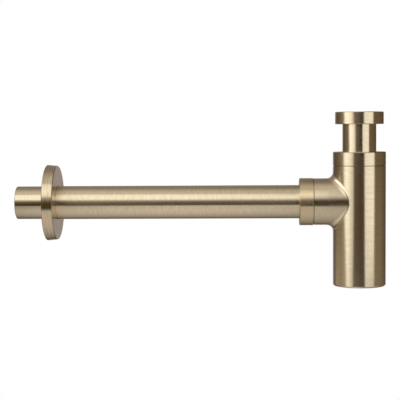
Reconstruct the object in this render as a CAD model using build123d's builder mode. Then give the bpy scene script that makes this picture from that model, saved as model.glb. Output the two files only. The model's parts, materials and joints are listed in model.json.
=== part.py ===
from build123d import *
from dataclasses import dataclass
import os

# A bottle trap for a basin, in millimetres, +Z up. The origin is the centre of the gasket's top
# face, where the basin waste is pulled down on it. The wall pipe leaves towards -X.

# Union nut on the basin waste, with what it clamps
union_thread_diameter = 42.0
union_wall = 2.0
union_height = 11.7
union_lip = 2.2
thread_relief = 0.6
thread_lead_in = 0.8
gasket_thickness = 2.0
gasket_setback = 0.4

# Inlet tube, which dips into the bottle
tube_diameter = 32.0
tube_wall = 1.2
collar_thickness = 1.6
collar_lead_in = 0.6
tube_showing = 26.3
dip_clearance = 12.0

# Bottle and branch, one casting
body_diameter = 50.2
body_height = 114.8
body_wall = 2.5
body_base_round = 1.5
outlet_drop = 34.3
branch_inset = 2.8
branch_length = 18.6
junction_radius = 6.0
neck_land = 5.0
chamber_taper = 3.0
pipe_stop = 1.5

# Slip joints: a nut, a slip washer and a tapered seal round each tube
cap_height = 13.2
cap_wall = 1.7
cap_web = 3.0
outlet_nut_section = 6.6
outlet_nut_length = 13.5
outlet_nut_wall = 1.7
outlet_nut_web = 2.7
slip_washer_thickness = 1.2
seal_head = 1.6
seal_lap = 1.05
seat_depth = 5.0
seat_ledge = 0.75
seat_flare = 1.6

# Clean-out plug under the bottle
plug_head = 2.2
plug_ledge = 0.9
plug_recess = 0.2
plug_thread_length = 5.2
plug_floor = 3.4
plug_wall = 3.2
coin_slot_width = 3.0
coin_slot_length = 30.0
coin_slot_depth = 1.4
ring_section = 1.8

# Wall pipe
pipe_diameter = 32.0
pipe_wall = 1.0
pipe_length = 300.0
pipe_end_gap = 4.9
insertion_step = 0.2
insertion_length = 29.0
insertion_chamfer = 0.5

# Wall flange, a hollow rosette round the pipe
flange_diameter = 73.1
flange_front_diameter = 71.3
flange_thickness = 10.2
flange_face = 1.8
flange_rim = 1.6
flange_standoff = 0.6
hub_wall = 3.3
hub_recess = 1.5

# Fits and edges
slide_clearance = 0.35
seal_clearance = 0.2
head_clearance = 0.3
thread_room = 0.8
gasket_clearance = 0.4
seam_gap = 0.4
nut_edge = 0.5
seam_edge = 0.2
flange_edge = 0.5

# Radii and levels that follow from the sizes above
tube_radius = tube_diameter / 2
pipe_radius = pipe_diameter / 2
body_radius = body_diameter / 2
outlet_nut_radius = pipe_radius + outlet_nut_section
branch_radius = body_radius - branch_inset
chamber_radius = body_radius - body_wall
clamped_radius = union_thread_diameter / 2 - gasket_clearance
collar_top = -gasket_thickness
collar_bottom = collar_top - collar_thickness
union_bottom = collar_bottom - union_lip
union_top = union_bottom + union_height
cap_top = union_bottom - tube_showing
neck_seam = cap_top - cap_height
base_level = neck_seam - body_height
outlet_level = neck_seam - outlet_drop
branch_seam = -(body_radius + branch_length)


@dataclass
class SlipJoint:
    """A sealed slip joint, measured outwards along its axis from the seam under its nut."""

    seam: tuple
    outward: tuple
    tube_radius: float
    nut_radius: float
    nut_length: float
    nut_wall: float
    web: float

    def __post_init__(self):
        self.plane = Plane(origin=self.seam, x_dir=self.outward, z_dir=(0, 1, 0))
        self.axis = Axis(self.seam, self.outward)
        self.thread_radius = self.nut_radius - self.nut_wall
        self.spigot_radius = self.thread_radius - thread_room
        self.bore_radius = self.tube_radius + slide_clearance
        self.floor_radius = self.bore_radius + seat_ledge
        self.mouth_radius = self.floor_radius + seat_flare
        self.washer_outside = self.thread_radius - slide_clearance
        self.web_face = self.nut_length - self.web
        self.seal_back = self.web_face - slip_washer_thickness
        self.spigot_length = self.seal_back - seal_head
        self.seat_floor = self.spigot_length - seat_depth


cap_joint = SlipJoint(
    seam=(0, 0, neck_seam),
    outward=(0, 0, 1),
    tube_radius=tube_radius,
    nut_radius=body_radius,
    nut_length=cap_height,
    nut_wall=cap_wall,
    web=cap_web,
)
outlet_joint = SlipJoint(
    seam=(branch_seam, 0, outlet_level),
    outward=(-1, 0, 0),
    tube_radius=pipe_radius,
    nut_radius=outlet_nut_radius,
    nut_length=outlet_nut_length,
    nut_wall=outlet_nut_wall,
    web=outlet_nut_web,
)


def slip_nut(joint):
    """Plain round nut with an internal thread bore and a web that the tube passes through."""
    with BuildPart() as nut:
        with BuildSketch(joint.plane):
            with BuildLine():
                Polyline(
                    (seam_gap, joint.thread_radius),
                    (seam_gap, joint.nut_radius),
                    (joint.nut_length, joint.nut_radius),
                    (joint.nut_length, joint.bore_radius),
                    (joint.web_face, joint.bore_radius),
                    (joint.web_face, joint.thread_radius),
                    close=True,
                )
            make_face()
        revolve(axis=joint.axis)
        along = nut.edges().filter_by(GeomType.CIRCLE).group_by(SortBy.RADIUS)[-1].sort_by(joint.axis)
        chamfer(along[0], seam_edge)
        chamfer(along[-1], nut_edge)
    return nut


def slip_washer(joint):
    """Thin ring between the nut's web and the back of the seal."""
    with BuildPart() as washer:
        with BuildSketch(joint.plane):
            with BuildLine():
                Polyline(
                    (joint.seal_back, joint.bore_radius),
                    (joint.seal_back, joint.washer_outside),
                    (joint.web_face, joint.washer_outside),
                    (joint.web_face, joint.bore_radius),
                    close=True,
                )
            make_face()
        revolve(axis=joint.axis)
    return washer


def cone_seal(joint):
    """Ring with a tapered nose that fills the seat and a head that laps over the seat's rim."""
    inside = joint.tube_radius + seal_clearance
    outside = joint.mouth_radius + seal_lap
    with BuildPart() as seal:
        with BuildSketch(joint.plane):
            with BuildLine():
                Polyline(
                    (joint.seat_floor, inside),
                    (joint.seat_floor, joint.floor_radius),
                    (joint.spigot_length, joint.mouth_radius),
                    (joint.spigot_length, outside),
                    (joint.seal_back, outside),
                    (joint.seal_back, inside),
                    close=True,
                )
            make_face()
        revolve(axis=joint.axis)
    return seal


# Union nut: an inward lip below, a relief behind the thread and a lead-in at the mouth
lip_radius = tube_radius + slide_clearance
thread_radius = union_thread_diameter / 2
union_radius = thread_radius + union_wall
with BuildPart() as inlet_union_nut:
    with BuildSketch(Plane.XZ):
        with BuildLine():
            Polyline(
                (lip_radius, union_bottom),
                (union_radius, union_bottom),
                (union_radius, union_top),
                (thread_radius + thread_lead_in, union_top),
                (thread_radius, union_top - thread_lead_in),
                (thread_radius, 0),
                (thread_radius + thread_relief, 0),
                (thread_radius + thread_relief, collar_bottom),
                (lip_radius, collar_bottom),
                close=True,
            )
        make_face()
    revolve(axis=Axis.Z)
    chamfer(inlet_union_nut.edges().filter_by(GeomType.CIRCLE).group_by(SortBy.RADIUS)[-1], nut_edge)

# Flat gasket on the tube's collar
with BuildPart() as inlet_gasket:
    with BuildSketch(Plane.XY.offset(collar_top)):
        Circle(clamped_radius)
        Circle(tube_radius - tube_wall + gasket_setback, mode=Mode.SUBTRACT)
    extrude(amount=gasket_thickness)

# Clean-out plug: a shallow cup with a head in the bottle's base and a coin slot underneath
plug_radius = chamber_radius - thread_room
head_radius = chamber_radius + plug_ledge
head_bottom = base_level + plug_recess
head_top = head_bottom + plug_head
groove_height = ring_section + seal_clearance
groove_radius = chamber_radius - seal_clearance - ring_section
ring_level = head_top + groove_height / 2
plug_top = head_top + groove_height + plug_thread_length
dish_radius = groove_radius - plug_wall
dish_level = head_bottom + plug_floor
with BuildPart() as base_plug:
    with BuildSketch(Plane.XZ):
        with BuildLine():
            Polyline(
                (0, head_bottom),
                (head_radius - head_clearance, head_bottom),
                (head_radius - head_clearance, head_top),
                (groove_radius, head_top),
                (groove_radius, head_top + groove_height),
                (plug_radius, head_top + groove_height),
                (plug_radius, plug_top),
                (dish_radius, plug_top),
                (dish_radius, dish_level),
                (0, dish_level),
                close=True,
            )
        make_face()
    revolve(axis=Axis.Z)
    with BuildSketch(Plane.XY.offset(head_bottom)):
        SlotOverall(coin_slot_length, coin_slot_width)
    extrude(amount=coin_slot_depth, mode=Mode.SUBTRACT)
    widest = base_plug.edges().filter_by(GeomType.CIRCLE).group_by(SortBy.RADIUS)[-1]
    chamfer(widest.sort_by(Axis.Z)[0], nut_edge)

# O-ring in the plug's groove
with BuildPart() as plug_o_ring:
    with BuildSketch(Plane.XZ):
        with Locations((groove_radius + ring_section / 2, ring_level)):
            Circle(ring_section / 2)
    revolve(axis=Axis.Z)

# Inlet tube with its turned-out collar; it ends a set height above the plug's floor
dip_level = dish_level + dip_clearance
with BuildPart() as inlet_tube:
    with BuildSketch(Plane.XY.offset(dip_level)):
        Circle(tube_radius)
    extrude(amount=collar_top - dip_level)
    with BuildSketch(Plane.XY.offset(collar_bottom)):
        Circle(clamped_radius)
    extrude(amount=collar_thickness)
    with BuildSketch(Plane.XY.offset(dip_level)):
        Circle(tube_radius - tube_wall)
    extrude(amount=collar_top - dip_level, mode=Mode.SUBTRACT)
    top_edges = inlet_tube.edges().filter_by(GeomType.CIRCLE).group_by(Axis.Z)[-1]
    chamfer(top_edges.sort_by(SortBy.RADIUS)[0], collar_lead_in)

# Bottle with neck spigot, and branch with outlet spigot. Along the outlet, the pipe's stop and the
# bottle's axis lie inwards of the branch's seam
stop = -branch_length
bottle_axis = -(body_radius + branch_length)
with BuildPart() as trap_body:
    with BuildSketch(Plane.XY.offset(base_level)):
        Circle(body_radius)
    extrude(amount=body_height)
    with BuildSketch(Plane(origin=(0, 0, outlet_level), z_dir=outlet_joint.outward)):
        Circle(branch_radius)
    extrude(amount=-branch_seam)
    curved = trap_body.edges().filter_by(GeomType.LINE, reverse=True)
    fillet(curved.filter_by(GeomType.CIRCLE, reverse=True), junction_radius)
    rims = trap_body.edges().filter_by(GeomType.CIRCLE)
    fillet(rims.sort_by(Axis.Z)[0], body_base_round)
    chamfer([rims.sort_by(Axis.Z)[-1], rims.sort_by(Axis.X)[0]], seam_edge)
    with BuildSketch(Plane.XY.offset(neck_seam)):
        Circle(cap_joint.spigot_radius)
    extrude(amount=cap_joint.spigot_length)
    with BuildSketch(Plane(origin=outlet_joint.seam, z_dir=outlet_joint.outward)):
        Circle(outlet_joint.spigot_radius)
    extrude(amount=outlet_joint.spigot_length)
    # Chamber, open below at the plug's ledge and above through the tapered seat
    with BuildSketch(cap_joint.plane):
        with BuildLine():
            Polyline(
                (base_level - neck_seam, 0),
                (base_level - neck_seam, head_radius),
                (head_top - neck_seam, head_radius),
                (head_top - neck_seam, chamber_radius),
                (-neck_land - chamber_taper, chamber_radius),
                (-neck_land, chamber_radius - chamber_taper),
                (-neck_land, cap_joint.bore_radius),
                (cap_joint.seat_floor, cap_joint.bore_radius),
                (cap_joint.seat_floor, cap_joint.floor_radius),
                (cap_joint.spigot_length, cap_joint.mouth_radius),
                (cap_joint.spigot_length, 0),
                close=True,
            )
        make_face()
    revolve(axis=cap_joint.axis, mode=Mode.SUBTRACT)
    # Waterway, the pipe's socket with its stop, and the tapered seat
    with BuildSketch(outlet_joint.plane):
        with BuildLine():
            Polyline(
                (bottle_axis, 0),
                (bottle_axis, pipe_radius - pipe_stop),
                (stop, pipe_radius - pipe_stop),
                (stop, outlet_joint.bore_radius),
                (outlet_joint.seat_floor, outlet_joint.bore_radius),
                (outlet_joint.seat_floor, outlet_joint.floor_radius),
                (outlet_joint.spigot_length, outlet_joint.mouth_radius),
                (outlet_joint.spigot_length, 0),
                close=True,
            )
        make_face()
    revolve(axis=outlet_joint.axis, mode=Mode.SUBTRACT)

# Slip joint of the inlet tube in the neck
cap_nut = slip_nut(cap_joint)
cap_slip_washer = slip_washer(cap_joint)
cap_cone_seal = cone_seal(cap_joint)

# Slip joint of the wall pipe in the branch
outlet_nut = slip_nut(outlet_joint)
outlet_slip_washer = slip_washer(outlet_joint)
outlet_cone_seal = cone_seal(outlet_joint)

# Wall pipe, turned down a little where it goes into the wall's socket
pipe_inner_end = stop + pipe_end_gap
pipe_wall_end = pipe_inner_end + pipe_length
insertion_radius = pipe_radius - insertion_step
with BuildPart() as outlet_pipe:
    with BuildSketch(outlet_joint.plane):
        with BuildLine():
            Polyline(
                (pipe_inner_end, pipe_radius - pipe_wall),
                (pipe_inner_end, pipe_radius),
                (pipe_wall_end - insertion_length, pipe_radius),
                (pipe_wall_end - insertion_length, insertion_radius),
                (pipe_wall_end - insertion_chamfer, insertion_radius),
                (pipe_wall_end, insertion_radius - insertion_chamfer),
                (pipe_wall_end, pipe_radius - pipe_wall),
                close=True,
            )
        make_face()
    revolve(axis=outlet_joint.axis)

# Wall flange: a tapered cup, open at the wall, with a hub whose groove holds the grip ring
flange_back = pipe_wall_end - insertion_length - flange_standoff
flange_front = flange_back - flange_thickness
face_back = flange_front + flange_face
hub_end = flange_back - hub_recess
hub_bore = pipe_radius + slide_clearance
hub_radius = hub_bore + hub_wall
grip_centre = (face_back + hub_end) / 2
grip_radius = pipe_radius + seal_clearance + ring_section / 2
grip_groove = grip_radius + ring_section / 2
half_groove = (ring_section + seal_clearance) / 2
with BuildPart() as wall_flange:
    with BuildSketch(outlet_joint.plane):
        with BuildLine():
            Polyline(
                (flange_front, hub_bore),
                (flange_front, flange_front_diameter / 2),
                (flange_back, flange_diameter / 2),
                (flange_back, flange_diameter / 2 - flange_rim),
                (face_back, flange_front_diameter / 2 - flange_rim),
                (face_back, hub_radius),
                (hub_end, hub_radius),
                (hub_end, hub_bore),
                (grip_centre + half_groove, hub_bore),
                (grip_centre + half_groove, grip_groove),
                (grip_centre - half_groove, grip_groove),
                (grip_centre - half_groove, hub_bore),
                close=True,
            )
        make_face()
    revolve(axis=outlet_joint.axis)
    rim_edges = wall_flange.edges().filter_by(GeomType.CIRCLE).sort_by(SortBy.RADIUS)
    front_edges = wall_flange.edges().filter_by(GeomType.CIRCLE).group_by(outlet_joint.axis)[0]
    chamfer([rim_edges[-1], front_edges.sort_by(SortBy.RADIUS)[-1]], flange_edge)

# Rubber ring in the hub, which grips the pipe
with BuildPart() as flange_grip_ring:
    with BuildSketch(outlet_joint.plane):
        with Locations((grip_centre, grip_radius)):
            Circle(ring_section / 2)
    revolve(axis=outlet_joint.axis)

sub_parts = {
    "inlet_union_nut": inlet_union_nut,
    "inlet_gasket": inlet_gasket,
    "inlet_tube": inlet_tube,
    "cap_nut": cap_nut,
    "cap_slip_washer": cap_slip_washer,
    "cap_cone_seal": cap_cone_seal,
    "trap_body": trap_body,
    "base_plug": base_plug,
    "plug_o_ring": plug_o_ring,
    "outlet_nut": outlet_nut,
    "outlet_slip_washer": outlet_slip_washer,
    "outlet_cone_seal": outlet_cone_seal,
    "outlet_pipe": outlet_pipe,
    "wall_flange": wall_flange,
    "flange_grip_ring": flange_grip_ring,
}

os.makedirs("parts", exist_ok=True)
for name, sub_part in sub_parts.items():
    sub_part.part.label = name
    export_step(sub_part.part, f"parts/{name}.step")
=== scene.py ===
import json
import math
from dataclasses import dataclass

import bpy
import numpy as np
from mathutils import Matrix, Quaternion, Vector


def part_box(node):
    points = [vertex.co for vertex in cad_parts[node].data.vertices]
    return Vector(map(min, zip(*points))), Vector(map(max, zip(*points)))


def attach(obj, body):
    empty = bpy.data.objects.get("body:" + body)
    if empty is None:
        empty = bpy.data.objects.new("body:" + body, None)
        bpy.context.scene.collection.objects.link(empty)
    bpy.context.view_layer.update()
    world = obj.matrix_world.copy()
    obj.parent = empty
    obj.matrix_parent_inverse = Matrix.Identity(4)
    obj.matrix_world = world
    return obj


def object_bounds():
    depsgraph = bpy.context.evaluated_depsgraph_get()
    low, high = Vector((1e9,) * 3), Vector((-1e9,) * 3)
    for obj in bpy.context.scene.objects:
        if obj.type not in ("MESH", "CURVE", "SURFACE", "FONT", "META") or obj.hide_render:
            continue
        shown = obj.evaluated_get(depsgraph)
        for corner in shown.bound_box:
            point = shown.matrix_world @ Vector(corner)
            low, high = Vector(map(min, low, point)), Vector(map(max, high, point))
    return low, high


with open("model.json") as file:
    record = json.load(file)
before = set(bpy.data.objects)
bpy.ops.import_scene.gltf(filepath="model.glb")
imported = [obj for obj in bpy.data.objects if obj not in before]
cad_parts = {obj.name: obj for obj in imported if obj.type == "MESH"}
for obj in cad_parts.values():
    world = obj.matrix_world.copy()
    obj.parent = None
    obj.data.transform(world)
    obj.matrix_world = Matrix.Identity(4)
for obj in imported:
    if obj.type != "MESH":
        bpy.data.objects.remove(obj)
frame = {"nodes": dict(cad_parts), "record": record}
cad_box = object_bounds()

bl_info = {
    "name": "Bottle Trap Finish",
    "version": (1, 0, 0),
    "blender": (4, 5, 0),
    "location": "View3D > Sidebar > Trap",
    "description": "Finishes a basin's bottle trap in brushed brass, cuts its threads and lights it",
    "category": "Object",
}

MM = 0.001
FULL_TURN = 2 * math.pi
WHITE = (1, 1, 1, 1)


# Places read from the frame

def screw_pitch(joint):
    """Advance per turn, from the coupling that ties a nut's travel to its turn."""
    couplings = frame["record"]["behaviour"]["couplings"]
    return next(c["ratio"] for c in couplings if c["joint"] == joint) * FULL_TURN


def mount(name):
    """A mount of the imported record."""
    return next(m for m in frame["record"]["mounts"] if m["name"] == name)


UP = Vector((0, 0, 1))
DOWN = Vector((0, 0, -1))
TO_WALL = Vector((-1, 0, 0))
PIPE_LOW, PIPE_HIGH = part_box("outlet_pipe")
PIPE_RADIUS = (PIPE_HIGH.z - PIPE_LOW.z) / 2
BOTTLE_AXIS = Vector((0, 0, 0))
OUTLET_AXIS = Vector((0, 0, ((PIPE_LOW + PIPE_HIGH) / 2).z))
BODY_LOW, BODY_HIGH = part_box("trap_body")
BODY_RADIUS = BODY_HIGH.x
CAP_LOW, CAP_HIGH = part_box("cap_nut")
OUTLET_NUT_LOW, OUTLET_NUT_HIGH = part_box("outlet_nut")
OUTLET_NUT_RADIUS = OUTLET_NUT_HIGH.y
UNION_LOW, UNION_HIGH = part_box("inlet_union_nut")
FLANGE_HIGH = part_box("wall_flange")[1]
PLUG_LOW, PLUG_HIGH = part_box("base_plug")

# Sizes that no box gives, the same as in the part's source
TUBE_RADIUS = 16.0 * MM
NUT_WALL = 1.7 * MM
BODY_WALL = 2.5 * MM
THREAD_ROOM = 0.8 * MM
INSERTION_LENGTH = 29.0 * MM

# How far brushed metal reaches in from a showing face, and from the rims that are brushed too
SKIN = 0.4 * MM
UNION_RIM = 0.7 * MM
BODY_RIM = 1.5 * MM
FLANGE_RIM = 1.4 * MM

# From the bottle's side out along the branch, where brushing round the branch starts and takes over
BRANCH_BRUSH_START = 1 * MM
BRANCH_BRUSH_END = 9 * MM


# Settings

def linear(hex_colour):
    """sRGB hex value to linear RGBA: each channel through the sRGB curve."""
    srgb = np.array([int(hex_colour[i:i + 2], 16) for i in (1, 3, 5)]) / 255
    channels = np.where(srgb <= 0.04045, srgb / 12.92, ((srgb + 0.055) / 1.055) ** 2.4)
    return (*channels, 1.0)


def colour(name, hex_colour, description):
    """Property for a colour, given as an sRGB hex value."""
    return bpy.props.FloatVectorProperty(
        name=name, description=description, subtype="COLOR", size=4, min=0, max=1,
        default=linear(hex_colour))


def length(name, millimetres, description):
    """Property for a length, given in millimetres and kept in metres."""
    return bpy.props.FloatProperty(
        name=name, description=description, subtype="DISTANCE", unit="LENGTH", default=millimetres * MM)


def angle(name, degrees, description):
    """Property for an angle, given in degrees and kept in radians."""
    return bpy.props.FloatProperty(
        name=name, description=description, subtype="ANGLE", unit="ROTATION",
        default=math.radians(degrees))


def factor(name, value, description):
    """Property for a share from 0 to 1."""
    return bpy.props.FloatProperty(
        name=name, description=description, subtype="FACTOR", min=0, max=1, default=value)


class TrapFinish(bpy.types.PropertyGroup):
    """Colours and brushing of the trap's pieces."""

    brass: colour("Brass", "#e7dabe", "Pale brushed brass of the showing pieces")
    brass_line: colour("Brass line", "#e0d1b4", "Darker lines left by the brush")
    nut_brass: colour("Nut brass", "#e4d0a3", "Yellower brass of the outlet nut")
    # Flange brass is more saturated brass, painted darker as well: painted shade on the flange
    flange_brass: colour("Flange brass", "#ccb999", "Deeper brass of the wall flange")
    # Raw brass is the unbrushed metal, painted darker as well: painted shade for the seams and insides
    raw_brass: colour("Raw brass", "#9c7c4a", "Turned or cast brass where nothing was brushed")
    rubber: colour("Rubber", "#232221", "Moulded rubber of the gasket, seals and rings")
    rubber_bloom: colour("Rubber bloom", "#3a3836", "Greyish bloom on the rubber")
    nylon: colour("Nylon", "#e6e0d0", "Moulded nylon of the slip washers")
    nylon_flow: colour("Nylon flow", "#d9d0ba", "Darker flow marks in the nylon")
    brush_line: length("Brush line", 0.9, "Spacing of the drawn brush lines")
    brush_depth: length("Brush depth", 0.0008, "Depth of the drawn brush lines")
    coarse_depth: length("Coarse depth", 0.0003, "Depth of the lines drawn on the pipe and its nut")
    coarse_spread: factor("Coarse spread", 0.83, "Stretch of reflections along the pipe and its nut")
    coarse_roughness: factor("Coarse roughness", 0.24, "Roughness of the pipe and its nut")
    fine_spread: factor("Fine spread", 0.5, "Stretch of reflections along the other pieces")
    fine_roughness: factor("Fine roughness", 0.20, "Roughness of the other pieces")
    polish_roughness: factor("Polish roughness", 0.13, "Roughness of the pipe's turned end")
    raw_roughness: factor("Raw roughness", 0.42, "Roughness of brass that wasn't brushed")


class TrapThreads(bpy.types.PropertyGroup):
    """Sizes of the screw threads."""

    fine_depth: length("Fine depth", 0.62, "Height of the threads on the slip joints and the plug")
    inlet_depth: length("Inlet depth", 1.2, "Height of the thread for the basin waste")
    sink: length("Sink", 0.05, "How far a thread's foot lies under the metal it stands on")
    run_out: angle("Run-out", 60, "Turn over which a thread fades at each end")


class TrapStage(bpy.types.PropertyGroup):
    """Camera, floor and light."""

    azimuth: angle("Azimuth", 3.12, "Turn of the camera to the right of the trap's front")
    elevation: angle("Elevation", 3.425, "Height of the camera above level")
    roll: angle("Roll", -0.413, "Turn of the camera about its own axis")
    distance: length("Distance", 1122.0, "From the camera to the point it looks at")
    lens: bpy.props.FloatProperty(
        name="Lens", description="Focal length on a 36 mm sensor, in millimetres", default=104.83, min=1)
    floor_drop: length("Floor drop", 240.0, "From the trap's lowest point down to the floor")
    floor: colour("Floor", "#ece5e0", "Pale floor")
    # The tent's glows are painted light and shade that metal reflects, set directly rather than lit by the
    # lamps
    tent_sky: colour("Tent sky", "#dad4cc", "Glow of the tent above the trap")
    tent_hem: colour("Tent hem", "#d8c8b0", "Glow low on the tent's left side and at its foot")
    tent_front: colour("Tent front", "#523d20", "Glow of the tent behind the camera")
    tent_gap: colour("Tent gap", "#1a1309", "Glow of the tent's dark gap behind the camera")
    tent_side: colour("Tent side", "#837560", "Glow of the tent beside the trap")
    tent_shoulder: colour("Tent shoulder", "#6a5d49", "Glow of the tent beside the trap, higher up")
    tent_back: colour("Tent back", "#918982", "Glow of the tent behind the pipe")
    tent_low_back: colour("Tent low back", "#a69e9f", "Glow of the tent low behind the pipe")
    tent_corner: colour("Tent corner", "#5a5046", "Glow of the tent's dark corners")


# Materials

# Radius of the circle that a turn round a piece draws in the noise, so a line breaks about 16 times
BRUSH_BREAKS = 2.5
# Noise at which a brush line is darkest and brightest
LINE_DARK, LINE_BRIGHT = 0.35, 0.68
# How much rougher a dark line is, and how much smoother a bright one
LINE_ROUGHNESS = 0.015
# On a bevel, the spoke's weight in the direction of spread, against 1 for the axis
SPOKE_WEIGHT = 0.7

# Sizes and depths of the other materials' patterns
TOOL_MARK, TOOL_MARK_DEPTH = 0.8 * MM, 0.01 * MM
RUBBER_GRAIN, RUBBER_GRAIN_DEPTH = 0.5 * MM, 0.04 * MM
RUBBER_BLOOM = 9 * MM
NYLON_FLOW, NYLON_FLOW_DEPTH = 6 * MM, 0.05 * MM
NYLON_SCATTER = 1.0 * MM


def add(tree, kind, inputs=(), out=None, **settings):
    """Adds a node, gives it its settings, and sets or links its inputs, by name or in order."""
    node = tree.nodes.new("ShaderNode" + kind)
    for name, value in settings.items():
        setattr(node, name, value)
    sockets = [s for s in node.inputs if s.enabled]
    if isinstance(inputs, dict):
        named = {s.name: s for s in reversed(sockets)}
        pairs = [(named[name], value) for name, value in inputs.items()]
    else:
        pairs = zip(sockets, inputs)
    for socket, value in pairs:
        if isinstance(value, bpy.types.NodeSocket):
            tree.links.new(value, socket)
        else:
            socket.default_value = value
    if not node.outputs:
        return node
    return node.outputs[out] if out else next(s for s in node.outputs if s.enabled)


def new_material(name):
    """An empty node material and its tree."""
    material = bpy.data.materials.new(name)
    material.use_nodes = True
    material.node_tree.nodes.clear()
    return material, material.node_tree


@dataclass
class Spindle:
    """The axis that a piece was turned and brushed about."""

    centre: Vector
    axis: Vector

    def nodes(self, tree, point, line):
        """Radius, place along the axis, brush-line noise and the direction that brushing spreads light."""
        across = tuple(1 - abs(a) for a in self.axis)
        centred = add(tree, "VectorMath", [point, self.centre], operation="SUBTRACT")
        flat = add(tree, "VectorMath", [centred, across], operation="MULTIPLY")
        radius = add(tree, "VectorMath", [flat], out="Value", operation="LENGTH")
        spoke = add(tree, "VectorMath", [flat], operation="NORMALIZE")
        along = add(tree, "VectorMath", [centred, self.axis], out="Value", operation="DOT_PRODUCT")
        # Brush lines run round the axis, so the noise changes fast along the profile and slowly round it
        profile = add(tree, "Math", [along, radius], operation="ADD")
        profile = add(tree, "Math", [profile, line], operation="DIVIDE")
        lengthwise = add(tree, "VectorMath", {"Vector": self.axis, "Scale": profile}, operation="SCALE")
        round_it = add(tree, "VectorMath", {"Vector": spoke, "Scale": BRUSH_BREAKS}, operation="SCALE")
        place = add(tree, "VectorMath", [lengthwise, round_it], operation="ADD")
        streak = add(tree, "TexNoise", {"Vector": place, "Scale": 1.0, "Detail": 3.0, "Roughness": 0.6})
        # On a side the spoke is the normal and drops out, and on a face the axis does
        inward = add(tree, "VectorMath", {"Vector": spoke, "Scale": -SPOKE_WEIGHT}, operation="SCALE")
        spread = add(tree, "VectorMath", [inward, self.axis], operation="ADD")
        return radius, along, streak, spread


BOTTLE_SPINDLE = Spindle(BOTTLE_AXIS, UP)
OUTLET_SPINDLE = Spindle(OUTLET_AXIS, TO_WALL)


@dataclass
class Bare:
    """Where a piece was left unbrushed: within a radius of a spindle, beyond a place along it."""

    spindle: Spindle
    radius: float
    beyond: float


def bare_mask(tree, point, places):
    """1 where any of the places is unbrushed."""
    mask = 0.0
    for place in places:
        radius, along, _, _ = place.spindle.nodes(tree, point, 1.0)
        inside = add(tree, "Math", [radius, place.radius], operation="LESS_THAN")
        past = add(tree, "Math", [along, place.beyond], operation="GREATER_THAN")
        both = add(tree, "Math", [inside, past], operation="MULTIPLY")
        mask = add(tree, "Math", [mask, both], operation="MAXIMUM")
    return mask


def brushed_brass(name, spindle, bright, bare=(), branch=None, polished_from=None, coarse=False):
    """Brass, turned and then brushed round its axis under a clear lacquer.

    To the eye it is pale gold with fine lines round the piece. Reflections keep sharp edges round
    the piece and stretch along it. Real lines are about 0.1 mm apart, too fine to show, so they are
    drawn at the brush-line size. Bare places are yellower, rougher brass, painted darker as well
    for the shade in the seams and the insides.
    """
    finish = bpy.context.scene.trap_finish
    grade = finish.coarse_roughness if coarse else finish.fine_roughness
    depth = finish.coarse_depth if coarse else finish.brush_depth
    material, tree = new_material(name)
    point = add(tree, "TexCoord", out="Object")
    _, along, streak, spread = spindle.nodes(tree, point, finish.brush_line)
    if branch:
        _, _, branch_streak, branch_spread = OUTLET_SPINDLE.nodes(tree, point, finish.brush_line)
        x = add(tree, "SeparateXYZ", [point], out="X")
        on_branch = add(tree, "MapRange", {"Value": x, "From Min": branch[0], "From Max": branch[1]},
                        interpolation_type="SMOOTHSTEP")
        streak = add(tree, "Mix", {"Factor": on_branch, "A": streak, "B": branch_streak})
        spread = add(tree, "Mix", {"Factor": on_branch, "A": spread, "B": branch_spread},
                     data_type="VECTOR")
    lines = add(tree, "MapRange", {"Value": streak, "From Min": LINE_DARK, "From Max": LINE_BRIGHT},
                interpolation_type="SMOOTHSTEP")
    brass = add(tree, "Mix", {"Factor": lines, "A": finish.brass_line, "B": bright}, data_type="RGBA")
    roughness = add(tree, "MapRange", {
        "Value": lines, "To Min": grade + LINE_ROUGHNESS, "To Max": grade - LINE_ROUGHNESS})
    if polished_from:
        polished = add(tree, "Math", [along, polished_from], operation="GREATER_THAN")
        roughness = add(tree, "Mix", {"Factor": polished, "A": roughness, "B": finish.polish_roughness})
    if bare:
        # Bare places take the raw brass colour, whose darkness is partly painted shade in the seams and
        # insides
        mask = bare_mask(tree, point, bare)
        brass = add(tree, "Mix", {"Factor": mask, "A": brass, "B": finish.raw_brass}, data_type="RGBA")
        roughness = add(tree, "Mix", {"Factor": mask, "A": roughness, "B": finish.raw_roughness})
    normal = add(tree, "Bump", {"Height": lines, "Distance": depth, "Strength": 1.0})
    tangent = add(tree, "VectorTransform", [spread], vector_type="VECTOR", convert_from="OBJECT",
                  convert_to="WORLD")
    shader = add(tree, "BsdfPrincipled", {
        "Base Color": brass, "Metallic": 1.0, "Roughness": roughness, "Normal": normal,
        "Anisotropic": finish.coarse_spread if coarse else finish.fine_spread, "Tangent": tangent})
    add(tree, "OutputMaterial", {"Surface": shader})
    return material


def turned_brass(name):
    """Brass thread, cut on a lathe and left bare: yellow, with a dull shine and faint tool marks."""
    finish = bpy.context.scene.trap_finish
    material, tree = new_material(name)
    point = add(tree, "TexCoord", out="Object")
    marks = add(tree, "TexNoise", {"Vector": point, "Scale": 1 / TOOL_MARK, "Detail": 3.0})
    # The darker tool marks take the raw brass colour, which carries painted shade as well
    brass = add(tree, "Mix", {"Factor": marks, "A": finish.raw_brass, "B": finish.brass},
                data_type="RGBA")
    normal = add(tree, "Bump", {"Height": marks, "Distance": TOOL_MARK_DEPTH})
    shader = add(tree, "BsdfPrincipled", {
        "Base Color": brass, "Metallic": 1.0, "Roughness": 0.34, "Normal": normal})
    add(tree, "OutputMaterial", {"Surface": shader})
    return material


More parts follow.
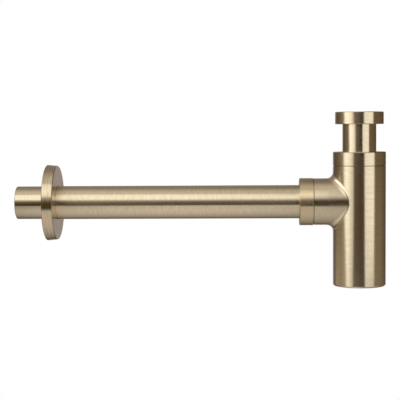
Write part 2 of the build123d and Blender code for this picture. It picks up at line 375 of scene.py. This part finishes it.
def moulded_rubber(name):
    """Black EPDM rubber, moulded: matt, with a fine grain and a greyish bloom in patches."""
    finish = bpy.context.scene.trap_finish
    material, tree = new_material(name)
    point = add(tree, "TexCoord", out="Object")
    grain = add(tree, "TexNoise", {"Vector": point, "Scale": 1 / RUBBER_GRAIN, "Detail": 2.0})
    bloom = add(tree, "TexNoise", {"Vector": point, "Scale": 1 / RUBBER_BLOOM, "Detail": 3.0})
    dusty = add(tree, "MapRange", {"Value": bloom, "From Min": 0.45, "From Max": 0.8},
                interpolation_type="SMOOTHSTEP")
    black = add(tree, "Mix", {"Factor": dusty, "A": finish.rubber, "B": finish.rubber_bloom},
                data_type="RGBA")
    normal = add(tree, "Bump", {"Height": grain, "Distance": RUBBER_GRAIN_DEPTH})
    shader = add(tree, "BsdfPrincipled", {"Base Color": black, "Roughness": 0.62, "Normal": normal})
    add(tree, "OutputMaterial", {"Surface": shader})
    return material


def moulded_nylon(name):
    """Natural nylon, moulded: off-white, waxy, with faint flow marks."""
    finish = bpy.context.scene.trap_finish
    material, tree = new_material(name)
    point = add(tree, "TexCoord", out="Object")
    flow = add(tree, "TexNoise", {"Vector": point, "Scale": 1 / NYLON_FLOW, "Detail": 2.0})
    cream = add(tree, "Mix", {"Factor": flow, "A": finish.nylon, "B": finish.nylon_flow},
                data_type="RGBA")
    normal = add(tree, "Bump", {"Height": flow, "Distance": NYLON_FLOW_DEPTH})
    shader = add(tree, "BsdfPrincipled", {
        "Base Color": cream, "Roughness": 0.45, "IOR": 1.53, "Subsurface Weight": 0.15,
        "Subsurface Scale": NYLON_SCATTER, "Normal": normal})
    add(tree, "OutputMaterial", {"Surface": shader})
    return material


def dress(node, material):
    """Gives a CAD node one material."""
    if node not in frame["nodes"]:
        raise RuntimeError(f"the frame has no node named {node}")
    slots = frame["nodes"][node].data.materials
    slots.clear()
    slots.append(material)


# New pieces

def surface(name, points, faces, material):
    """Smooth mesh object at the origin from arrays of points and faces."""
    mesh = bpy.data.meshes.new(name)
    mesh.from_pydata(points.tolist(), [], faces)
    mesh.update()
    if mesh.validate(verbose=False):
        raise RuntimeError(f"{name} has faces that had to be mended")
    mesh.polygons.foreach_set("use_smooth", np.ones(len(mesh.polygons), dtype=bool))
    mesh.materials.append(material)
    piece = bpy.data.objects.new(name, mesh)
    bpy.context.scene.collection.objects.link(piece)
    return piece


def grid_faces(rows, columns, wrap):
    """Four-sided faces of a grid of points, whose columns may close into a ring."""
    steps = columns if wrap else columns - 1
    row, column = np.meshgrid(np.arange(rows - 1), np.arange(steps), indexing="ij")
    after = (column + 1) % columns
    corners = [row * columns + column, row * columns + after,
               (row + 1) * columns + after, (row + 1) * columns + column]
    return np.stack(corners, axis=-1).reshape(-1, 4)


@dataclass
class Thread:
    """A right-hand screw thread: its start, axis and seat's radius, then its length, pitch and depth.

    One cut in a bore stands inwards, and the phase turns its ridge about the axis.
    """

    name: str
    body: str
    start: Vector
    axis: Vector
    radius: float
    length: float
    pitch: float
    depth: float
    inside: bool = False
    phase: float = 0.0


# Points on each turn of a thread, and across its ridge
THREAD_STEPS = 72
PROFILE_STEPS = 10
# Share of its full height that a ridge keeps at its ends
END_HEIGHT = 0.05
# Length of thread on each piece of the slip joints and the clean-out
NECK_THREAD = 6.8 * MM
CAP_THREAD = 7.6 * MM
BRANCH_THREAD = 7.4 * MM
OUTLET_NUT_THREAD = 8.2 * MM
PLUG_THREAD = 5.0 * MM
# Plain metal left at each end of the union nut's thread
UNION_LEAD = 0.3 * MM


def thread_surface(thread, material):
    """A ridge carried along a helix.

    Turn t goes round the axis and along it by one pitch per turn. Across the ridge, s goes from
    -1/2 to 1/2 of a pitch, and the ridge stands up by the squared cosine of pi times s, from a foot
    just under the metal to the crest. At both ends the height fades over the run-out.
    """
    settings = bpy.context.scene.trap_threads
    turn_end = (thread.length / thread.pitch - 1) * FULL_TURN
    turns = np.linspace(0, turn_end, int(THREAD_STEPS * turn_end / FULL_TURN))[:, None]
    s = np.linspace(-0.5, 0.5, PROFILE_STEPS)[None, :]
    fade = np.clip(np.minimum(turns, turn_end - turns) / settings.run_out, 0, 1)
    full_height = (thread.depth + settings.sink) * np.cos(np.pi * s) ** 2
    height = full_height * (END_HEIGHT + (1 - END_HEIGHT) * fade) - settings.sink
    radial = thread.radius + (-height if thread.inside else height)
    along = thread.pitch * (turns / FULL_TURN + 0.5 + s)
    axis = np.array(thread.axis)
    side = np.array(thread.axis.orthogonal().normalized())
    other = np.cross(axis, side)
    heading = (turns + thread.phase)[..., None]
    spoke = np.cos(heading) * side + np.sin(heading) * other
    points = np.array(thread.start) + along[..., None] * axis + radial[..., None] * spoke
    rows, columns = radial.shape
    ring = np.arange(columns)
    faces = [*grid_faces(rows, columns, wrap=True)[:, ::-1].tolist(),
             ring.tolist(), (ring[::-1] + (rows - 1) * columns).tolist()]
    if thread.inside:
        faces = [face[::-1] for face in faces]
    piece = surface(thread.name, points.reshape(-1, 3), faces, material)
    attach(piece, thread.body)


# Operators for the part

class TRAP_OT_brush_brass(bpy.types.Operator):
    """Brush the showing brass pieces, and leave their insides raw"""

    bl_idname = "trap.brush_brass"
    bl_label = "Brush Brass Pieces"

    def execute(self, context):
        finish = context.scene.trap_finish
        bottle, outlet = BOTTLE_SPINDLE, OUTLET_SPINDLE
        hanging = Spindle(BOTTLE_AXIS, DOWN)
        inward = Spindle(OUTLET_AXIS, -TO_WALL)
        seam = -OUTLET_NUT_HIGH.x
        dress("inlet_union_nut", brushed_brass(
            "brushed_brass_union_nut", bottle, finish.brass,
            bare=[Bare(bottle, UNION_HIGH.x - UNION_RIM, UNION_LOW.z + SKIN)]))
        dress("inlet_tube", brushed_brass(
            "brushed_brass_inlet_tube", bottle, finish.brass,
            bare=[Bare(bottle, TUBE_RADIUS - SKIN, BODY_LOW.z)]))
        dress("cap_nut", brushed_brass(
            "brushed_brass_cap_nut", bottle, finish.brass,
            bare=[Bare(hanging, BODY_RADIUS - SKIN, SKIN - CAP_HIGH.z)]))
        dress("trap_body", brushed_brass(
            "brushed_brass_body", bottle, finish.brass,
            branch=(-BODY_RADIUS - BRANCH_BRUSH_START, -BODY_RADIUS - BRANCH_BRUSH_END),
            bare=[Bare(bottle, BODY_RADIUS - BODY_RIM, BODY_LOW.z + SKIN),
                  Bare(outlet, PIPE_RADIUS + SKIN, BODY_RADIUS - BODY_WALL),
                  Bare(outlet, OUTLET_NUT_RADIUS - NUT_WALL, seam - SKIN)]))
        dress("outlet_nut", brushed_brass(
            "brushed_brass_outlet_nut", outlet, finish.nut_brass, coarse=True,
            bare=[Bare(inward, OUTLET_NUT_RADIUS - SKIN, OUTLET_NUT_LOW.x + SKIN)]))
        dress("outlet_pipe", brushed_brass(
            "brushed_brass_wall_pipe", outlet, finish.brass, coarse=True,
            polished_from=-PIPE_LOW.x - INSERTION_LENGTH,
            bare=[Bare(outlet, PIPE_RADIUS - SKIN, 0)]))
        dress("wall_flange", brushed_brass(
            "brushed_brass_flange", outlet, finish.flange_brass,
            bare=[Bare(outlet, FLANGE_HIGH.y - FLANGE_RIM, SKIN - FLANGE_HIGH.x)]))
        dress("base_plug", brushed_brass(
            "brushed_brass_base_plug", bottle, finish.brass,
            bare=[Bare(bottle, BODY_RADIUS, PLUG_LOW.z + SKIN)]))
        return {"FINISHED"}


class TRAP_OT_mould_seals(bpy.types.Operator):
    """Finish the rubber gasket, seals and rings, and the nylon slip washers"""

    bl_idname = "trap.mould_seals"
    bl_label = "Mould Seals and Washers"

    def execute(self, context):
        rubber = moulded_rubber("moulded_rubber")
        for node in ("inlet_gasket", "cap_cone_seal", "outlet_cone_seal", "plug_o_ring", "flange_grip_ring"):
            dress(node, rubber)
        nylon = moulded_nylon("moulded_nylon")
        for node in ("cap_slip_washer", "outlet_slip_washer"):
            dress(node, nylon)
        return {"FINISHED"}


class TRAP_OT_cut_threads(bpy.types.Operator):
    """Cut the threads of the union nut, the slip joints and the clean-out plug"""

    bl_idname = "trap.cut_threads"
    bl_label = "Cut Threads"

    def execute(self, context):
        settings = context.scene.trap_threads
        brass = turned_brass("turned_brass_thread")
        cap_pitch = screw_pitch("cap_travel")
        outlet_pitch = screw_pitch("outlet_travel")
        plug_pitch = screw_pitch("plug_travel")
        inlet = mount("waste_inlet")["dims"]
        inlet_length = inlet["length_mm"] * MM - 2 * UNION_LEAD
        cap_bore = BODY_RADIUS - NUT_WALL
        outlet_bore = OUTLET_NUT_RADIUS - NUT_WALL
        plug_bore = BODY_RADIUS - BODY_WALL
        inlet_start = Vector((0, 0, UNION_LEAD))
        cap_mouth = Vector((0, 0, CAP_LOW.z))
        outlet_mouth = Vector((OUTLET_NUT_HIGH.x, 0, OUTLET_AXIS.z))
        plug_end = Vector((0, 0, PLUG_HIGH.z))
        fine = settings.fine_depth
        threads = [
            Thread("union_nut_thread", "union", inlet_start, UP, inlet["r_mm"] * MM, inlet_length,
                   cap_pitch, settings.inlet_depth, inside=True),
            Thread("neck_thread", "trap", cap_mouth, UP, cap_bore - THREAD_ROOM, NECK_THREAD,
                   cap_pitch, fine),
            Thread("cap_nut_thread", "cap", cap_mouth, UP, cap_bore, CAP_THREAD,
                   cap_pitch, fine, inside=True, phase=math.pi),
            Thread("branch_thread", "trap", outlet_mouth, TO_WALL, outlet_bore - THREAD_ROOM,
                   BRANCH_THREAD, outlet_pitch, fine),
            Thread("outlet_nut_thread", "outlet_ring", outlet_mouth, TO_WALL, outlet_bore,
                   OUTLET_NUT_THREAD, outlet_pitch, fine, inside=True, phase=math.pi),
            Thread("plug_thread", "plug", plug_end, DOWN, plug_bore - THREAD_ROOM, PLUG_THREAD,
                   plug_pitch, fine),
            Thread("base_thread", "trap", plug_end, DOWN, plug_bore, PLUG_THREAD,
                   plug_pitch, fine, inside=True, phase=math.pi),
        ]
        for thread in threads:
            thread_surface(thread, brass)
        return {"FINISHED"}


# Stage

# Sizes of the tent and the floor in metres, their numbers of points, and the tent's top ring as an angle
TENT_FRONT = 1.5
TENT_BACK = 0.7
TENT_SIDE = 1.25
TENT_HEIGHT = 2.0
TENT_STEPS = (33, 96)
TENT_CROWN = math.pi / 2 - 0.01
FLOOR_SIDE = 12.0
FLOOR_STEPS = 5

# The painted pool of light, with painted shade round it, that metal sees on the floor: where its edges start
# and end, in metres, and its glow
POOL_MIDDLE = -0.22
POOL_ASIDE = (0.07, 0.3)
POOL_GLOW = (0.74, 0.37)
POOL_BACK = (0.45, -0.25)
POOL_FRONT = (-1.12, -0.8)
POOL_LEFT = (-0.46, -0.36)
POOL_LEFT_SHARE = 0.7
SHADE_GLOW = 0.09
FAR_GLOW = 0.04
# Away from the trap, where the floor starts to turn white and where it is white, in metres
WHITE_FLOOR = (0.15, 0.54)
WHITE_UNDER_TRAP = 0.6

# Shares of the tent, each from 0 to 1 between two values of x, y or z of the unit direction from the origin
TENT_SHARES = {
    "right": ("x", -0.1, 0.2),
    "far_left": ("x", -0.4, -0.6),
    "left_side": ("x", -0.6, -0.95),
    "right_sky": ("x", -0.05, 0.45),
    "past_gap_edge": ("x", -0.42, -0.15),
    "past_pipe": ("x", -0.1, 0.15),
    "past_front": ("y", -0.95, -0.35),
    "past_side": ("y", 0.1, 0.8),
    "back_sky": ("y", -0.35, 0.6),
    "gap_top": ("z", -0.12, -0.06),
    "gap_foot": ("z", -0.17, -0.24),
    "shoulder": ("z", -0.15, -0.05),
    "left_hem": ("z", -0.13, -0.36),
    "foot": ("z", -0.32, -0.44),
}
# Shares made from two others
TENT_JOINS = (
    ("high_gap", "MULTIPLY", "gap_top", "past_gap_edge"),
    ("gap", "MAXIMUM", "gap_foot", "high_gap"),
    ("corners", "MAXIMUM", "right", "far_left"),
    ("side_hem", "MULTIPLY", "left_hem", "left_side"),
    ("hem", "MAXIMUM", "foot", "side_hem"),
)
# Where the low tent turns into the high one, and how much lower that is past the pipe
TENT_RISE = (-0.05, 0.38)
TENT_RISE_DROP = -0.12
# Glows mixed from two others: the new glow, its share, and the glows at a share of 0 and of 1
TENT_GLOWS = (
    ("front", "gap", "tent_front", "tent_gap"),
    ("side", "shoulder", "tent_side", "tent_shoulder"),
    ("low_back", "corners", "tent_low_back", "tent_corner"),
    ("front_and_side", "past_front", "front", "side"),
    ("all_round", "past_side", "front_and_side", "low_back"),
    ("low", "hem", "all_round", "tent_hem"),
    ("sky", "right_sky", "tent_sky", "tent_corner"),
    ("back", "right", "tent_back", "tent_corner"),
    ("high", "back_sky", "sky", "back"),
    ("tent", "rise", "low", "high"),
)

# Light of the white world on what isn't a camera or mirror ray
WORLD_FILL = 0.25

# Points that the lamps and the camera look at
BOTTLE_TARGET = Vector((0, 0, -90 * MM))
PIPE_TARGET = Vector((-370 * MM, 0, OUTLET_AXIS.z))
CAMERA_TARGET = Vector((-152.49, 0, -77.6)) * MM
SENSOR_WIDTH = 36
VIEW_END = 50


@dataclass
class Softbox:
    """A soft lamp aimed at a point.

    It has a bearing from the camera's side, a height, a reach in metres, a width and height, a glow,
    the angle that its grid lets through, and a lean about its own axis.
    """

    name: str
    target: Vector
    azimuth: float
    elevation: float
    reach: float
    width: float
    height: float
    radiance: float
    grid: float
    lean: float = 0.0


def bearing(azimuth, elevation):
    """Unit direction towards a viewer: 0 is in front of the trap, and positive turns to its right."""
    flat = math.cos(elevation)
    return Vector((math.sin(azimuth) * flat, -math.cos(azimuth) * flat, math.sin(elevation)))


def hang_softbox(box):
    """Area lamp of a set radiance, whose grid dims it away from its axis, hidden from the camera."""
    lamp = bpy.data.lights.new(box.name, "AREA")
    lamp.shape = "RECTANGLE"
    lamp.size, lamp.size_y = box.width, box.height
    lamp.spread = box.grid
    # A grid gathers the lamp's power towards its axis, so the same radiance needs less of it
    half = box.grid / 2
    gathered = 1 - half / math.tan(half)
    lamp.energy = box.radiance * math.pi * box.width * box.height * gathered
    towards = bearing(box.azimuth, box.elevation)
    holder = bpy.data.objects.new(box.name, lamp)
    holder.location = box.target + towards * box.reach
    holder.rotation_mode = "QUATERNION"
    holder.rotation_quaternion = towards.to_track_quat("Z", "Y") @ Quaternion(UP, box.lean)
    holder.visible_camera = False
    bpy.context.scene.collection.objects.link(holder)


class TRAP_OT_set_stage(bpy.types.Operator):
    """Set up the floor, tent, soft lamps, white background and camera"""

    bl_idname = "trap.set_stage"
    bl_label = "Set Stage"

    def execute(self, context):
        stage = context.scene.trap_stage
        self.centre = (cad_box[0] + cad_box[1]) / 2
        self.floor_level = cad_box[0][2] - stage.floor_drop
        self.lay_floor(stage)
        self.pitch_tent(stage)
        self.light_world(context.scene)
        for box in self.softboxes():
            hang_softbox(box)
        self.place_camera(context.scene, stage)
        context.scene.view_settings.view_transform = "Standard"
        return {"FINISHED"}

    def lay_floor(self, stage):
        """Flat square grid of points at the floor's level, with even steps both ways."""
        place = np.linspace(-FLOOR_SIDE / 2, FLOOR_SIDE / 2, FLOOR_STEPS)
        x, y = np.meshgrid(place, place)
        points = np.stack([x + self.centre[0], y, np.full_like(x, self.floor_level)], axis=-1)
        faces = grid_faces(FLOOR_STEPS, FLOOR_STEPS, wrap=False).tolist()
        surface("floor", points.reshape(-1, 3), faces, self.floor_paint(stage))

    def floor_paint(self, stage):
        """Pale matt paint, white away from the trap, and seen through from below.

        Metal sees a painted glow on it instead: a painted pool of light in front of the trap and painted
        shade behind it.
        """
        material, tree = new_material("painted_floor")
        point = add(tree, "TexCoord", out="Object")
        x = add(tree, "SeparateXYZ", [point], out="X")
        y = add(tree, "SeparateXYZ", [point], out="Y")
        aside = add(tree, "Math", [x, POOL_MIDDLE], operation="SUBTRACT")
        aside = add(tree, "Math", [aside], operation="ABSOLUTE")
        across = add(tree, "MapRange", {
            "Value": aside, "From Min": POOL_ASIDE[0], "From Max": POOL_ASIDE[1],
            "To Min": POOL_GLOW[0], "To Max": POOL_GLOW[1]})
        near = add(tree, "MapRange", {"Value": y, "From Min": POOL_BACK[0], "From Max": POOL_BACK[1]},
                   interpolation_type="SMOOTHSTEP")
        lit = add(tree, "Math", [near, across, SHADE_GLOW], operation="MULTIPLY_ADD")
        inside = add(tree, "MapRange", {"Value": y, "From Min": POOL_FRONT[0], "From Max": POOL_FRONT[1]},
                     interpolation_type="SMOOTHSTEP")
        pool = add(tree, "Math", [inside, lit, FAR_GLOW], operation="MULTIPLY_ADD")
        fade = add(tree, "MapRange", {
            "Value": x, "From Min": POOL_LEFT[0], "From Max": POOL_LEFT[1], "To Min": POOL_LEFT_SHARE})
        pool = add(tree, "Math", [pool, fade], operation="MULTIPLY")
        foot = (self.centre[0], 0, self.floor_level)
        away = add(tree, "VectorMath", [point, foot], out="Value", operation="DISTANCE")
        pale = add(tree, "MapRange", {
            "Value": away, "From Min": WHITE_FLOOR[0], "From Max": WHITE_FLOOR[1],
            "To Min": WHITE_UNDER_TRAP, "To Max": 1.0}, interpolation_type="SMOOTHSTEP")
        paint = add(tree, "BsdfDiffuse", {"Color": stage.floor})
        # Painted light and shade on the floor, seen only in reflections
        painted_pool_glow = add(tree, "Emission", {"Color": stage.floor, "Strength": pool})
        white = add(tree, "Emission", {"Strength": 1.0})
        clear = add(tree, "BsdfTransparent")
        camera = add(tree, "LightPath", out="Is Camera Ray")
        glossy = add(tree, "LightPath", out="Is Glossy Ray")
        below = add(tree, "NewGeometry", out="Backfacing")
        whitened = add(tree, "Math", [pale, camera], operation="MULTIPLY")
        plain = add(tree, "MixShader", [whitened, paint, white])
        seen = add(tree, "MixShader", [glossy, plain, painted_pool_glow])
        add(tree, "OutputMaterial", {"Surface": add(tree, "MixShader", [below, seen, clear])})
        return material

    def pitch_tent(self, stage):
        """Half of an egg over the trap, from the floor up, which the camera looks through.

        A point is the egg's reach along the direction of its bearing and height, and the reach to
        the front, back, sides and top differs.
        """
        rows, columns = TENT_STEPS
        height, turn = np.meshgrid(np.linspace(0, TENT_CROWN, rows),
                                   np.linspace(0, FULL_TURN, columns, endpoint=False), indexing="ij")
        direction = np.stack([np.sin(turn) * np.cos(height), -np.cos(turn) * np.cos(height),
                              np.sin(height)], axis=-1).reshape(-1, 3)
        depth = np.where(direction[:, 1] < 0, TENT_FRONT, TENT_BACK)
        reach = np.stack([np.full_like(depth, TENT_SIDE), depth, np.full_like(depth, TENT_HEIGHT)],
                         axis=-1)
        points = np.array([self.centre[0], 0, self.floor_level]) + reach * direction
        faces = grid_faces(rows, columns, wrap=True).tolist()
        tent = surface("tent", points, faces, self.tent_painted_glow(stage))
        tent.visible_camera = False

    def tent_painted_glow(self, stage):
        """A sheet of painted light and shade that metal reflects, set directly and not lit by the lamps:
        light above, dark behind the camera.
        """
        material, tree = new_material("tent_painted_glow")
        point = add(tree, "TexCoord", out="Object")
        direction = add(tree, "VectorMath", [point], operation="NORMALIZE")
        places = {axis: add(tree, "SeparateXYZ", [direction], out=axis.upper()) for axis in "xyz"}
        shares = {}
        for name, (axis, start, end) in TENT_SHARES.items():
            shares[name] = add(tree, "MapRange", {
                "Value": places[axis], "From Min": start, "From Max": end}, interpolation_type="SMOOTHSTEP")
        for name, operation, first, second in TENT_JOINS:
            shares[name] = add(tree, "Math", [shares[first], shares[second]], operation=operation)
        height = add(tree, "Math", [shares["past_pipe"], TENT_RISE_DROP, places["z"]],
                     operation="MULTIPLY_ADD")
        shares["rise"] = add(tree, "MapRange", {
            "Value": height, "From Min": TENT_RISE[0], "From Max": TENT_RISE[1]},
            interpolation_type="SMOOTHSTEP")
        glows = {name: getattr(stage, name) for name in stage.__annotations__ if name.startswith("tent_")}
        for name, share, first, second in TENT_GLOWS:
            glows[name] = add(tree, "Mix", {
                "Factor": shares[share], "A": glows[first], "B": glows[second]}, data_type="RGBA")
        glow = add(tree, "Emission", {"Color": glows["tent"], "Strength": 1.0})
        add(tree, "OutputMaterial", {"Surface": glow})
        return material

    def light_world(self, scene):
        """White where the camera or a reflection sees it, dim for everything else."""
        world = bpy.data.worlds.new("white_background")
        world.use_nodes = True
        tree = world.node_tree
        tree.nodes.clear()
        shown = 0.0
        for kind in ("Is Camera Ray", "Is Glossy Ray", "Is Transmission Ray"):
            ray = add(tree, "LightPath", out=kind)
            shown = add(tree, "Math", [shown, ray], operation="MAXIMUM")
        strength = add(tree, "MapRange", {"Value": shown, "To Min": WORLD_FILL, "To Max": 1.0})
        background = add(tree, "Background", {"Color": WHITE, "Strength": strength})
        add(tree, "OutputWorld", {"Surface": background})
        scene.world = world

    def softboxes(self):
        """Two tall boxes beside the camera for the upright pieces, and one overhead for the pipe."""
        degrees = math.radians
        return [
            Softbox("left_softbox", BOTTLE_TARGET, azimuth=degrees(-66.1), elevation=degrees(17),
                    reach=1.1, width=0.695, height=2.0, radiance=1.58, grid=degrees(110),
                    lean=degrees(48)),
            Softbox("right_softbox", BOTTLE_TARGET, azimuth=degrees(39.3), elevation=degrees(18.5),
                    reach=0.95, width=0.82, height=1.12, radiance=1.13, grid=degrees(160),
                    lean=degrees(5)),
            Softbox("overhead_softbox", PIPE_TARGET, azimuth=0.0, elevation=degrees(40.5),
                    reach=1.1, width=0.7, height=0.8, radiance=0.68, grid=degrees(110)),
        ]

    def place_camera(self, scene, stage):
        """Camera at the bearing and reach of the picture, turned about its own axis by the roll."""
        camera = bpy.data.cameras.new("camera")
        camera.lens = stage.lens
        camera.sensor_width = SENSOR_WIDTH
        camera.clip_end = VIEW_END
        holder = bpy.data.objects.new("camera", camera)
        back = bearing(stage.azimuth, stage.elevation)
        holder.location = CAMERA_TARGET + back * stage.distance
        holder.rotation_mode = "QUATERNION"
        holder.rotation_quaternion = back.to_track_quat("Z", "Y") @ Quaternion(UP, stage.roll)
        scene.collection.objects.link(holder)
        scene.camera = holder


# Add-on

class TRAP_PT_finish(bpy.types.Panel):
    """Panel that lists the steps and their settings"""

    bl_idname = "TRAP_PT_finish"
    bl_label = "Bottle Trap"
    bl_space_type = "VIEW_3D"
    bl_region_type = "UI"
    bl_category = "Trap"

    def draw(self, context):
        layout = self.layout
        for operator in OPERATORS:
            layout.operator(operator.bl_idname)
        for group in (context.scene.trap_finish, context.scene.trap_threads, context.scene.trap_stage):
            for name in group.__annotations__:
                layout.prop(group, name)


GROUPS = {"trap_finish": TrapFinish, "trap_threads": TrapThreads, "trap_stage": TrapStage}
OPERATORS = (TRAP_OT_brush_brass, TRAP_OT_mould_seals, TRAP_OT_cut_threads, TRAP_OT_set_stage)


def register():
    for cls in (*GROUPS.values(), *OPERATORS, TRAP_PT_finish):
        bpy.utils.register_class(cls)
    for name, group in GROUPS.items():
        setattr(bpy.types.Scene, name, bpy.props.PointerProperty(type=group))


def unregister():
    for name in GROUPS:
        delattr(bpy.types.Scene, name)
    for cls in (TRAP_PT_finish, *reversed(OPERATORS), *reversed(GROUPS.values())):
        bpy.utils.unregister_class(cls)


def main():
    register()
    bpy.ops.trap.brush_brass()
    bpy.ops.trap.mould_seals()
    bpy.ops.trap.cut_threads()
    bpy.ops.trap.set_stage()


if __name__ == "__main__":
    main()
